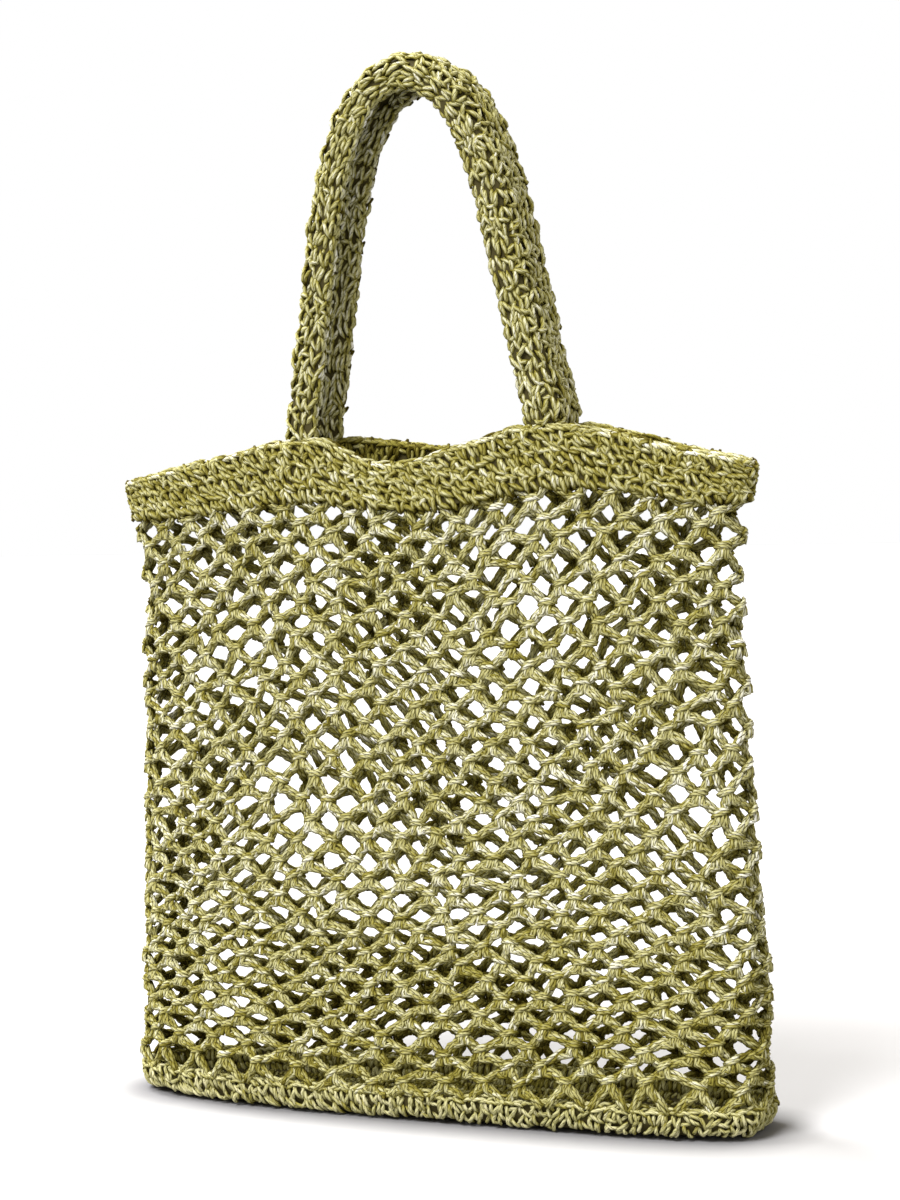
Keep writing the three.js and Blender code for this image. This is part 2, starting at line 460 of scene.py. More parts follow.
def linear(colour: str) -> tuple[float, float, float, float]:
    """A linear colour with full alpha from an sRGB hex value.

    Args:
        colour: The value, with its leading mark.

    Returns:
        Red, green, blue and alpha.
    """
    parts = [int(colour[i : i + 2], 16) / 255 for i in (1, 3, 5)]
    red, green, blue = [p / 12.92 if p <= 0.04045 else ((p + 0.055) / 1.055) ** 2.4 for p in parts]
    return red, green, blue, 1.0


def add_node(
    tree: bpy.types.NodeTree, kind: str, inputs: dict | None = None, **settings: object
) -> bpy.types.Node:
    """Adds a node with its settings, and feeds its inputs.

    Args:
        tree: The node tree.
        kind: The node's type name.
        inputs: Names or numbers of inputs, each with the output that feeds it or with its value.
        settings: Properties of the node.

    Returns:
        The new node.
    """
    node = tree.nodes.new(kind)
    for name, value in settings.items():
        setattr(node, name, value)
    for name, value in (inputs or {}).items():
        if isinstance(value, bpy.types.NodeSocket):
            tree.links.new(value, node.inputs[name])
        else:
            node.inputs[name].default_value = value
    return node


# Twisted paper gives the eye dull olive strands, each with fine lengthwise creases that catch no gloss,
# painted shade in the lines between its plies, and pale where the paper is rubbed.
@dataclass(frozen=True)
class StrawFinish:
    """Twisted paper straw: matte, creased along each strand, its tone shifting from strand to strand.

    Lengths are real millimetres along a strand: a streak of the paper, and one turn of its twist. The paper's
    own fibres are finer than a pixel, so the streaks are drawn coarser than they are.
    """

    name: str = "paper_straw"
    crease_shade: str = "#443a00"
    dark: str = "#8a8238"
    middle: str = "#b7b380"
    light: str = "#f1f0e8"
    stops: tuple[float, ...] = (0.08, 0.28, 0.46, 0.68)
    roughness: float = 0.8
    gloss: float = 0.12
    plies: float = 3.0
    streak_length: float = 7.0
    streak_scale: float = 1.7
    streak_detail: float = 3.0
    streak_roughness: float = 0.6
    tone_share: float = 0.5
    turn_length: float = 14.0
    waver: float = 0.9
    groove_depth: float = 0.5
    groove_height: float = 0.6
    groove_width: float = 0.66

    def material(self) -> bpy.types.Material:
        """Makes the material, on each strand's own map: u around it, v in millimetres along it.

        Returns:
            The material.
        """
        finish = bpy.data.materials.new(self.name)
        finish.use_nodes = True
        tree = finish.node_tree
        plan = add_node(tree, "ShaderNodeUVMap", uv_map="Strand").outputs["UV"]
        stretch = (self.plies, 1 / self.streak_length, 1)
        fine = add_node(tree, "ShaderNodeMapping", {"Vector": plan, "Scale": stretch}).outputs["Vector"]
        grain = {"Scale": self.streak_scale, "Detail": self.streak_detail, "Roughness": self.streak_roughness}
        streaks = add_node(tree, "ShaderNodeTexNoise", {"Vector": fine, **grain}).outputs["Fac"]
        # The tone attribute carries each strand's own tone together with painted light and shade.
        tone = add_node(tree, "ShaderNodeAttribute", attribute_name="tone").outputs["Fac"]
        mixed = add_node(tree, "ShaderNodeMath", {0: streaks, 1: tone}, operation="ADD").outputs[0]
        level = add_node(tree, "ShaderNodeMath", {0: mixed, 1: self.tone_share}, operation="MULTIPLY")
        ramp = add_node(tree, "ShaderNodeValToRGB", {"Fac": level.outputs[0]})
        marks = ramp.color_ramp.elements
        marks[0].position = self.stops[0]
        marks[1].position = self.stops[-1]
        for stop in self.stops[1:-1]:
            marks.new(stop)
        for mark, colour in zip(marks, (self.crease_shade, self.dark, self.middle, self.light)):
            mark.color = linear(colour)
        ridge = self.plies_ridge(tree, plan, streaks)
        groove = {"Value": ridge, "From Max": self.groove_width}
        soft = add_node(tree, "ShaderNodeMapRange", groove, interpolation_type="SMOOTHSTEP")
        shade = soft.outputs["Result"]
        # Painted shade: the lines between plies are mixed toward the crease shade colour.
        blend = {"Factor": shade, "A": linear(self.crease_shade), "B": ramp.outputs["Color"]}
        tint = add_node(tree, "ShaderNodeMix", blend, data_type="RGBA")
        relief = {"Height": shade, "Distance": self.groove_height * MM, "Strength": self.groove_depth}
        bump = add_node(tree, "ShaderNodeBump", relief)
        shader = tree.nodes["Principled BSDF"]
        shader.inputs["Roughness"].default_value = self.roughness
        shader.inputs["Specular IOR Level"].default_value = self.gloss
        tree.links.new(tint.outputs["Result"], shader.inputs["Base Color"])
        tree.links.new(bump.outputs["Normal"], shader.inputs["Normal"])
        return finish

    def plies_ridge(
        self, tree: bpy.types.NodeTree, plan: bpy.types.NodeSocket, streaks: bpy.types.NodeSocket
    ) -> bpy.types.NodeSocket:
        """Adds the profile of the plies that wind around a strand.

        Args:
            tree: The material's nodes.
            plan: The strand's map.
            streaks: The paper's streaks, which make the plies waver.

        Returns:
            0 in the line between two plies, 1 on the middle of one.
        """
        parts = add_node(tree, "ShaderNodeSeparateXYZ", {"Vector": plan})
        wound = {0: parts.outputs["Y"], 1: 1 / self.turn_length, 2: parts.outputs["X"]}
        twist = add_node(tree, "ShaderNodeMath", wound, operation="MULTIPLY_ADD").outputs[0]
        around = add_node(tree, "ShaderNodeMath", {0: twist, 1: self.plies}, operation="MULTIPLY").outputs[0]
        loose = {0: streaks, 1: self.waver, 2: around}
        waver = add_node(tree, "ShaderNodeMath", loose, operation="MULTIPLY_ADD").outputs[0]
        turn = add_node(tree, "ShaderNodeMath", {0: waver, 1: math.pi}, operation="MULTIPLY").outputs[0]
        wave = add_node(tree, "ShaderNodeMath", {0: turn}, operation="SINE").outputs[0]
        return add_node(tree, "ShaderNodeMath", {0: wave}, operation="ABSOLUTE").outputs[0]


# Straw deep between the stitches is painted a dull dark olive, painted shade behind every strand.
@dataclass(frozen=True)
class CoreFinish:
    """The crochet's inside, straw between the stitches: dull, and painted darker for the shade that falls
    there.
    """

    name: str = "straw_core"
    colour: str = "#3d3505"
    roughness: float = 0.85

    def material(self) -> bpy.types.Material:
        """Makes the material.

        Returns:
            The material.
        """
        finish = bpy.data.materials.new(self.name)
        finish.use_nodes = True
        shader = finish.node_tree.nodes["Principled BSDF"]
        shader.inputs["Base Color"].default_value = linear(self.colour)
        shader.inputs["Roughness"].default_value = self.roughness
        return finish


@dataclass(frozen=True)
class Stitch:
    """One crochet stitch: a V of two strands, at times with a loop over its head; no two are quite alike.

    `width` and `height` are millimetres, or shares that `sized` turns into them. The fields after `points`
    shape it: where the V starts, how it flares, its low end and reach, how its strands rise out of the
    surface, sink and cross, then the place, rise, reach and bend of the loop, and the spread in size.
    """

    width: float
    height: float
    cut: StrandCut
    spread: float = 0.4
    slant: float = 0.0
    tilt: float = 0.16
    bend: float = 1.2
    depth: float = 0.3
    shift: float = 0.4
    loops: float = 0.0
    tone: float = 0.0
    points: int = 5
    foot: float = 0.05
    flare: float = 0.8
    low: float = -0.66
    reach: float = 1.26
    crown: float = 1.7
    sink: float = 1.0
    overlap: float = 0.2
    loop_low: float = 0.34
    loop_rise: float = 0.2
    loop_reach: float = 0.6
    loop_crown: float = 0.9
    loop_sink: float = 1.9
    size_spread: float = 0.09

    def sized(self, width: float, height: float) -> "Stitch":
        """The stitch with its width and height multiplied."""
        return replace(self, width=self.width * width, height=self.height * height)

    def add(self, strands: StrandMesh, patch: Patch) -> None:
        """Adds the stitch at each place of a patch.

        Args:
            strands: The mesh that gets the strands.
            patch: The stitches' places.
        """
        t = np.linspace(0, 1, self.points)[None]
        for side in (-1, 1):
            right = side * self.width * (self.foot + self.spread * t**self.flare)
            high = self.height * (self.low + self.reach * t)
            proud = self.bend * (self.crown * np.sin(math.pi * t) - self.sink) - side * self.overlap
            self.add_strokes(strands, patch, right, high, proud)
        looped = strands.chance.random(len(patch.centre)) < self.loops
        if looped.any():
            span = 2 * t - 1
            high = self.height * (self.loop_low + self.loop_rise * (1 - span**2))
            proud = self.bend * (self.loop_crown - self.loop_sink * span**2)
            self.add_strokes(strands, patch.some(looped), self.loop_reach * self.width * span, high, proud)

    def add_strokes(self, strands: StrandMesh, patch: Patch, right: Array, high: Array, proud: Array) -> None:
        """Adds one strand of the stitch at each place, turned and moved a little by chance.

        Args:
            strands: The mesh that gets the strands.
            patch: The stitches' places.
            right: The strand's points across the stitch.
            high: Its points up the stitch.
            proud: Its points out of the surface.
        """
        chance = strands.chance
        each = (len(patch.centre), 1)
        turn = self.slant + chance.normal(0, self.tilt, each)
        size = chance.normal(1, self.size_spread, each)
        x = size * (right * np.cos(turn) - high * np.sin(turn)) + chance.normal(0, self.shift, each)
        y = size * (right * np.sin(turn) + high * np.cos(turn)) + chance.normal(0, self.shift, each)
        paths = patch.place(x, y, proud + chance.normal(0, self.depth, each))
        strands.add(paths, patch.outward(self.points), self.cut, self.tone)


class Face(Enum):
    """The two faces of the net."""

    FRONT = 0
    BACK = 1


@dataclass(frozen=True)
class RowPlace:
    """Height of a row of knots, both as shares: of the rows below it and of the net's height."""

    row: float
    height: float


@dataclass(frozen=True)
class Wander:
    """How far a knot strays: across in columns, up in rows, out in millimetres, and its turn in radians."""

    across: float = 0.08
    up: float = 0.1
    out: float = 0.6
    turn: float = 0.12


@dataclass(frozen=True)
class Pull:
    """Where the rim's left peak pulls knots askew.

    Its place and width are millimetres, `start` and `rise` shares of the net's height where the pull
    begins and over which it grows, and `turn` radians.
    """

    x: float = -120.0
    width: float = 90.0
    start: float = 0.4
    rise: float = 0.5
    turn: float = 0.35


@dataclass(frozen=True)
class PaintedShade:
    """Painted tone of a face's strands, and the painted shade that falls over the lowest rows, where less
    light gets in.
    """

    tone: float
    dim: float
    rows: float = 12.0


@dataclass(frozen=True)
class LegForm:
    """A leg of chain, in millimetres: a cord of twisted strands from one knot's post to the next knot's top.

    `foot` is the share of the post's half height where it leaves, `start` and `end` its places beside
    both knots' middles, `pull` how straight its ends point along it, `dip` how it sags, `cord` how far
    its strands lie from its middle and `flat` how much less they do so in depth.
    """

    foot: float = 0.15
    start: float = 1.5
    end: float = 1.8
    points: int = 4
    pull: float = 0.99
    dip: float = 0.6
    dip_spread: float = 1.5
    cord: float = 1.72
    flat: float = 0.8
    twist: float = 0.5
    plies: int = 4
    cut: StrandCut = StrandCut(1.38, 1.2, ends=0.85, end_painted_shade=0.2)


@dataclass(frozen=True)
class PostForm:
    """The upright strands of a knot, which part into the legs below; millimetres unless they are shares.

    `half` is half the post's height, which follows the rows' height by the power `give`. Strands stand at
    `places` beside the middle and pass `levels` of the half height; they stand `proud` of the net, less by
    `dip` at the top and by `fall` away from the middle. They run on to `leg_shares` of the legs, `hug`
    below them and `leg_lifts` in front of them.
    """

    half: float = 3.7
    give: float = 0.4
    places: tuple[float, ...] = (0.85, 2.5)
    levels: tuple[float, ...] = (1.0, 0.15, -0.7)
    flare: float = 0.1
    wander: float = 0.25
    slip: float = 0.2
    proud: float = 2.5
    dip: float = 1.2
    fall: float = 0.16
    leg_shares: tuple[float, ...] = (0.36, 0.54)
    leg_lifts: tuple[float, ...] = (2.0, 0.4)
    hug: float = 2.0
    hug_fall: float = 0.7
    hug_shares: tuple[float, ...] = (1.0, 0.5)


@dataclass(frozen=True)
class BarForm:
    """The strands wound across the top of a knot, in millimetres; `tilt` is their rise to the right.

    `reach` is half their length, `step` the way up from one to the next, and `drop` how far the first lies
    below the post's top. Their ends go down by `sag` and back by `wrap`; each lies deeper by `sink`.
    """

    count: int = 2
    points: int = 5
    reach: float = 5.0
    tilt: float = 0.26
    tilt_spread: float = 0.2
    slip: float = 0.4
    step: float = 1.6
    drop: float = 0.3
    sag: float = 0.7
    proud: float = 2.8
    wrap: float = 2.6
    sink: float = 0.4
    tone: float = 0.04


@dataclass(frozen=True)
class Legs:
    """Legs of chain on one side: the numbers of the knots at their ends, the ends' places and the tone, with
    its painted shade.
    """

    side: int
    upper: Array
    lower: Array
    start: Array
    end: Array
    tone: Array


@dataclass
class NetFace:
    """One face of the net: rows of chain loops, each hung from the row above by a knot.

    `wave` is how far the rows swing up and down, as a share of the net's height, in `waves` around the bag.
    """

    form: BagForm
    face: Face
    columns: int = 35
    rows: int = 32
    places: tuple[RowPlace, ...] = (
        RowPlace(0, 0),
        RowPlace(0.15, 0.13),
        RowPlace(0.375, 0.336),
        RowPlace(0.688, 0.668),
        RowPlace(1, 1),
    )
    wall: float = 4.5
    base_overlap: float = 1.5
    rim_overlap: float = 1.0
    seat_lift: float = 3.0
    wave: float = 0.012
    waves: int = 3
    wander: Wander = Wander()
    pull: Pull = Pull()
    leg: LegForm = LegForm()
    post: PostForm = PostForm()
    bar: BarForm = BarForm()
    knot_cut: StrandCut = StrandCut(1.42, 1.22, ends=0.75, end_painted_shade=0.3)
    # The back face is painted lighter than the front: painted light on the net seen from inside.
    front_painted_shade: PaintedShade = PaintedShade(-0.05, 0.14)
    back_painted_shade: PaintedShade = PaintedShade(0.04, 0.3)
    seed: int = 11

    def knots(self) -> tuple[Patch, Array, Array, Array]:
        """Places of all knots around the bag, with a row below on the base and a row above on the rim.

        Returns:
            The places, their row, their column and half their height, both faces of the bag included.
        """
        chance = np.random.default_rng(self.seed)
        row, column = np.meshgrid(np.arange(self.rows + 2), np.arange(self.columns), indexing="ij")
        row, column = row.ravel(), column.ravel()
        count = len(row)
        inner = (row > 0) & (row <= self.rows)
        shift = np.where(inner, chance.normal(0, self.wander.across, count), 0)
        drift = np.where(inner, chance.normal(0, self.wander.up, count), 0)
        around = (column + 0.5 * (row % 2) + shift) / self.columns
        shares, heights = np.array([(p.row, p.height) for p in self.places]).T
        level = smooth_curve(shares, heights, np.clip((row + drift) / (self.rows + 1), 0, 1))
        above = smooth_curve(shares, heights, np.clip((row + drift + 1) / (self.rows + 1), 0, 1))
        low = self.form.base_height - self.base_overlap
        high = self.form.rim_heights(around)[1] + self.rim_overlap
        half = self.post.half * ((above - level) * (self.rows + 1)) ** self.post.give
        level = level + self.wave * np.sin(2 * math.pi * (self.waves * around + level)) * inner
        patch = self.form.wall_patch(around, low + (high - low) * level, MID_WALL, self.wall, 0.0)
        seat = np.where(row == 0, self.seat_lift, np.where(row == 1, self.seat_lift / 2, 0.0))
        patch.centre = patch.centre + (seat + chance.normal(0, self.wander.out, count))[:, None] * patch.out
        pulled = np.exp(-(((patch.centre[:, 0] - self.pull.x) / self.pull.width) ** 2))
        pulled = pulled * np.clip((level - self.pull.start) / self.pull.rise, 0, 1)
        turn = (self.pull.turn * pulled + chance.normal(0, self.wander.turn, count))[:, None]
        across = np.cos(turn) * patch.across + np.sin(turn) * patch.up
        patch.up = np.cos(turn) * patch.up - np.sin(turn) * patch.across
        patch.across = across
        return patch, row, column, np.where(inner, half, 0.0)

    def build(self, finish: bpy.types.Material) -> list[bpy.types.Object]:
        """Makes the face's loops and knots.

        Args:
            finish: The straw.

        Returns:
            The two pieces, which stand for the face's solid.
        """
        patch, row, column, half = self.knots()
        front = (column + 0.5 * (row % 2)) / self.columns < 0.5
        mine = front if self.face is Face.FRONT else ~front
        name = f"net_{self.face.name.lower()}"
        loops, knots = StrandMesh(self.seed + 2), StrandMesh(self.seed + 3)
        upper = np.flatnonzero(mine & (row > 0))
        hung = [self.legs(patch, half, row, column, upper, side) for side in (-1, 1)]
        self.add_loops(loops, patch, hung)
        for legs in hung:
            self.add_posts(knots, patch, half, legs)
        self.add_bars(knots, patch, half, hung[0])
        pieces = [loops.build(f"{name}_loops", finish), knots.build(f"{name}_knots", finish)]
        for piece in pieces:
            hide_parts(name)
        return pieces

    def legs(self, patch: Patch, half: Array, row: Array, column: Array, upper: Array, side: int) -> Legs:
        """The legs of chain that hang from knots to one side.

        Args:
            patch: The places of all knots.
            half: Half the knots' heights.
            row: The knots' rows.
            column: The knots' columns.
            upper: Numbers of the knots they hang from.
            side: -1 for the left legs, 1 for the right ones.

        Returns:
            The legs.
        """
        step = np.where(row[upper] % 2 == 1, (side + 1) // 2, (side - 1) // 2)
        lower = (row[upper] - 1) * self.columns + np.mod(column[upper] + step, self.columns)
        foot, head = self.leg.foot * half[upper][:, None], half[lower][:, None]
        start = patch.centre[upper] + foot * patch.up[upper] + side * self.leg.start * patch.across[upper]
        end = patch.centre[lower] + head * patch.up[lower] - side * self.leg.end * patch.across[lower]
        shade = self.front_painted_shade if self.face is Face.FRONT else self.back_painted_shade
        # Painted shade: the lowest rows get darker.
        tone = shade.tone - shade.dim * np.clip(1 - row[upper] / shade.rows, 0, 1)
        return Legs(side, upper, lower, start, end, tone)

    def add_loops(self, loops: StrandMesh, patch: Patch, hung: list[Legs]) -> None:
        """Adds the legs of chain that hang from the knots.

        Args:
            loops: The mesh that gets them.
            patch: The places of all knots.
            hung: The left and the right legs.
        """
        t = np.linspace(0, 1, self.leg.points)[None, :, None]
        for legs in hung:
            dip = loops.chance.normal(self.leg.dip, self.leg.dip_spread, (len(legs.upper), 1))
            run = self.leg.pull * (legs.end - legs.start)
            slopes = (run - dip * patch.up[legs.upper], run + dip * patch.up[legs.lower])
            ends = (legs.start[:, None], legs.end[:, None])
            middle = hermite(t, ends, (slopes[0][:, None], slopes[1][:, None]))
            self.add_twisted(loops, middle, unit(patch.out[legs.upper] + patch.out[legs.lower]), t, legs.tone)

    def add_twisted(self, loops: StrandMesh, middle: Array, out: Array, t: Array, tone: Array) -> None:
        """Adds strands twisted around each middle line.

        Args:
            loops: The mesh that gets them.
            middle: The middle lines, of shape (legs, points, 3).
            out: Direction out of the net at each leg.
            t: Share of the way along, of shape (1, points, 1).
            tone: Added to each leg's tone.
        """
        outward = np.repeat(out[:, None], middle.shape[1], axis=1)
        along = unit(np.gradient(middle, axis=1))
        across = unit(np.cross(along, outward))
        start = loops.chance.uniform(0, 2 * math.pi, (len(middle), 1, 1))
        for ply in range(self.leg.plies):
            angle = start + 2 * math.pi * (ply / self.leg.plies + self.leg.twist * t)
            offset = self.leg.cord * (np.cos(angle) * across + self.leg.flat * np.sin(angle) * outward)
            loops.add(middle + offset, outward, self.leg.cut, tone)

    def add_posts(self, knots: StrandMesh, patch: Patch, half: Array, legs: Legs) -> None:
        """Adds the upright strands of the knots that run on into the legs of one side.

        Args:
            knots: The mesh that gets them.
            patch: The places of all knots.
            half: Half the knots' heights.
            legs: The legs.
        """
        post, chance = self.post, knots.chance
        chosen = half[legs.upper] > 0
        some, tall = patch.some(legs.upper[chosen]), half[legs.upper[chosen]][:, None]
        run = (legs.end - legs.start)[chosen]
        under = unit(np.cross(some.out, legs.side * run))[:, None]
        each = (len(some.centre), 1)
        t = np.array(post.levels)[None]
        shares = (post.leg_shares, post.leg_lifts, post.hug_shares)
        share, lift, hug = [np.array(values)[None, :, None] for values in shares]
        for place in post.places:
            right = legs.side * place * (1 - post.flare * t) + chance.normal(0, post.wander, each)
            high = tall * t + chance.normal(0, post.slip, each)
            proud = post.proud - post.dip * np.clip(t, 0, 1) ** 2 - post.fall * place
            top = some.place(right, high, proud + chance.normal(0, post.wander, each))
            low = (post.hug - post.hug_fall * place) * hug
            down = legs.start[chosen][:, None] + share * run[:, None] - low * under + lift * some.out[:, None]
            paths = np.concatenate([top, down], axis=1)
            knots.add(paths, some.outward(paths.shape[1]), self.knot_cut, legs.tone[chosen])

    def add_bars(self, knots: StrandMesh, patch: Patch, half: Array, legs: Legs) -> None:
        """Adds the bar over the top of each knot.

        Args:
            knots: The mesh that gets them.
            patch: The places of all knots.
            half: Half the knots' heights.
            legs: The legs of one side, which give the knots and their tone.
        """
        bar, chance = self.bar, knots.chance
        chosen = half[legs.upper] > 0
        some, tall = patch.some(legs.upper[chosen]), half[legs.upper[chosen]][:, None]
        each = (len(some.centre), 1)
        tilt = chance.normal(bar.tilt, bar.tilt_spread, each)
        t = np.linspace(-1, 1, bar.points)[None]
        for turn in range(bar.count):
            right = t * bar.reach + chance.normal(0, bar.slip, each)
            high = tall + bar.step * turn - bar.drop + tilt * right - bar.sag * t**2
            proud = np.broadcast_to(bar.proud - bar.wrap * t**2 - bar.sink * turn, right.shape)
            paths = some.place(right, high, proud)
            knots.add(paths, some.outward(bar.points), self.knot_cut, bar.tone + legs.tone[chosen])


def edge_patch(middle: Array, along: Array, out: Array) -> Patch:
    """Stitch places of a braid that runs along an edge.

    Args:
        middle: Points on the edge.
        along: Directions of the edge.
        out: Directions out of the surface.

    Returns:
        The places, whose stitches point along the edge.
    """
    sideways = unit(np.cross(along, out))
    return Patch(middle, sideways, along, unit(np.cross(sideways, along)))


@dataclass
class Rim:
    """The firm band around the mouth: rows of single crochet inside and out, with a braided top edge.

    Each row has its slant and is shifted along by `row_shift` of a stitch; `first_row` and `spare_rows` set
    where the rows lie between the band's edges. The braid's lines have an inset into the wall and a tone;
    the inner line's darker tone is painted shade inside the mouth, as is the inside rows' tone.
    """

    form: BagForm
    stitches: int = 144
    slants: tuple[float, ...] = (0.65, 0.9, 0.6, 0.95, 0.7)
    wall: float = 5.0
    lift: float = 0.5
    row_shift: float = 0.3
    first_row: float = 0.4
    spare_rows: float = 0.2
    outer_cut: StrandCut = StrandCut(1.65, 1.3, end_painted_shade=0.6, side_painted_shade=0.95, variety=0.9)
    outer: Stitch = Stitch(1.0, 1.3, outer_cut, tilt=0.36, shift=0.6, loops=0.5, tone=-0.1)
    inner_cut: StrandCut = StrandCut(1.5, 1.1)
    # The inside rows are painted darker: painted shade inside the mouth.
    inner: Stitch = Stitch(1.0, 1.2, inner_cut, slant=-0.4, tilt=0.5, shift=0.7, loops=0.3, tone=-0.45)
    braid: Stitch = Stitch(4.4, 1.6, StrandCut(1.5, 1.3, sides=5), tilt=0.12, bend=1.0)
    # The inner braid line is painted darker: painted shade inside the mouth.
    braid_lines: tuple[tuple[float, float], ...] = ((0.15, 0.0), (0.85, -0.45))
    braid_step: float = 0.4
    braid_drop: float = 0.8
    braid_lean: float = 1.6
    seed: int = 23

    def build(self, finish: bpy.types.Material) -> bpy.types.Object:
        """Makes the band's stitches, which lie on its solid.

        Args:
            finish: The straw.

        Returns:
            The new piece.
        """
        strands = StrandMesh(self.seed)
        width = self.form.girth(self.form.rim_level) / self.stitches
        rows = len(self.slants)
        for row, slant in enumerate(self.slants):
            around = (np.arange(self.stitches) + self.row_shift * row) / self.stitches
            top, low = self.form.rim_heights(around)
            z = low + (top - low) * (row + self.first_row) / (rows + self.spare_rows)
            mean = float((top - low).mean())
            for stitch, inset in ((replace(self.outer, slant=slant), 0.0), (self.inner, 1.0)):
                patch = self.form.wall_patch(around, z, inset, self.wall, self.lift)
                patch.up = ((top - low) / mean)[:, None] * patch.up
                stitch.sized(width, mean / rows).add(strands, patch)
        self.add_braid(strands, width)
        return strands.build("rim_stitches", finish)

    def add_braid(self, strands: StrandMesh, width: float) -> None:
        """Adds a braid along each corner of the top edge.

        Args:
            strands: The mesh that gets it.
            width: Length of the rim that one of its stitches takes.
        """
        around = np.arange(self.stitches) / self.stitches
        step = self.braid_step / self.stitches
        for inset, tone in self.braid_lines:
            ends = []
            for at in (around - step, around + step):
                height = self.form.rim_heights(at)[0] - self.braid_drop
                ends.append(self.form.wall(at, height, inset, self.wall))
            along = unit(ends[1] - ends[0])
            out = UP + (MID_WALL - inset) * self.braid_lean * unit(np.cross(along, UP))
            patch = edge_patch((ends[0] + ends[1]) / 2, along, out)
            replace(self.braid, tone=tone).sized(1.0, width).add(strands, patch)


@dataclass
class Base:
    """The bag's bottom: a low wall of upright ribs below a braid, and a flat floor worked in ovals.

    `rows` are the heights of the wall's rows. The braid's lines have an inset into the wall and a lean
    outwards. An oval has `floor_count` of the wall's stitches, and more by `floor_growth` towards the wall.
    """

    form: BagForm
    stitches: int = 168
    rows: tuple[float, ...] = (6.2, 12.2)
    row_height: float = 7.2
    wall: float = 5.0
    wander: float = 0.12
    cut: StrandCut = StrandCut(1.15, 1.1, sides=5, end_painted_shade=0.4, side_painted_shade=0.5, variety=0.75)
    rib: Stitch = Stitch(1.0, 1.0, cut, slant=0.15, tilt=0.5, bend=1.4, depth=0.5, shift=0.8, tone=0.03)
    rib_lift: float = 0.6
    # The inside stitches are painted darker: painted shade inside the bag.
    plain: Stitch = Stitch(1.0, 1.0, StrandCut(1.6, 1.0), tone=-0.3)
    plain_lift: float = 0.3
    plain_rise: float = 1.5
    braid: Stitch = Stitch(4.2, 1.4, cut, tilt=0.3, bend=1.0, shift=0.7, tone=-0.04)
    braid_lines: tuple[tuple[float, float], ...] = ((0.0, 0.9), (0.6, 0.0))
    floor_rows: int = 5
    floor_count: float = 0.72
    floor_growth: float = 0.16
    floor_shift: float = 0.3
    floor_step: float = 0.2
    floor_fill: float = 0.9
    seed: int = 31

    def build(self, finish: bpy.types.Material) -> bpy.types.Object:
        """Makes the base's stitches, which lie on its solid.

        Args:
            finish: The straw.

        Returns:
            The new piece.
        """
        strands = StrandMesh(self.seed)
        self.add_wall(strands)
        self.add_floor(strands)
        return strands.build("base_stitches", finish)

    def add_wall(self, strands: StrandMesh) -> None:
        """Adds rows of stitches outside and inside, and a braid along the top edge.

        Args:
            strands: The mesh that gets them.
        """
        width = self.form.girth(self.rows[0]) / self.stitches
        stray = strands.chance.normal(0, self.wander, self.stitches)
        around = (np.arange(self.stitches) + stray) / self.stitches
        rib, plain = self.rib.sized(width, self.row_height), self.plain.sized(width, self.row_height)
        for middle in self.rows:
            z = np.full(self.stitches, middle)
            rib.add(strands, self.form.wall_patch(around, z, 0.0, self.wall, self.rib_lift))
            inside = self.form.wall_patch(around, z + self.plain_rise, 1.0, self.wall, self.plain_lift)
            plain.add(strands, inside)
        z = np.full(self.stitches, self.form.base_height)
        for inset, lean in self.braid_lines:
            patch = self.form.wall_patch(around, z, inset, self.wall, 0.0)
            patch = edge_patch(patch.centre, patch.across, lean * patch.out + patch.up)
            self.braid.sized(1.0, width).add(strands, patch)

    def add_floor(self, strands: StrandMesh) -> None:
        """Adds the oval rows on the top of the floor.

        Args:
            strands: The mesh that gets them.
        """
        row_height = (self.form.sections[0].half_depth - self.wall) / self.floor_rows
        for row in range(self.floor_rows):
            share = (row + 0.5) / self.floor_rows
            count = int(self.stitches * (self.floor_count + self.floor_growth * share))
            around = (np.arange(count) + self.floor_shift * row) / count
            z = np.full(count, self.wall)
            middle = self.form.wall(around, z, 1.0, self.wall, share)
            ahead = self.form.wall(around + self.floor_step / count, z, 1.0, self.wall, share)
            along = unit(ahead - middle)
            out = np.tile(UP, (count, 1))
            width = self.form.girth(self.wall) * self.floor_fill / count
            patch = Patch(middle, along, np.cross(out, along), out)
            self.plain.sized(width, row_height).add(strands, patch)


@dataclass(frozen=True)
class LinePoint:
    """A point of the handle's middle line, from the rim's peak up to the crown."""

    x: float
    z: float


@dataclass(frozen=True)
class Ripple:
    """How the handle's rows swing: a height in rows, and radians a step along and across the band."""

    height: float
    along: float
    across: float


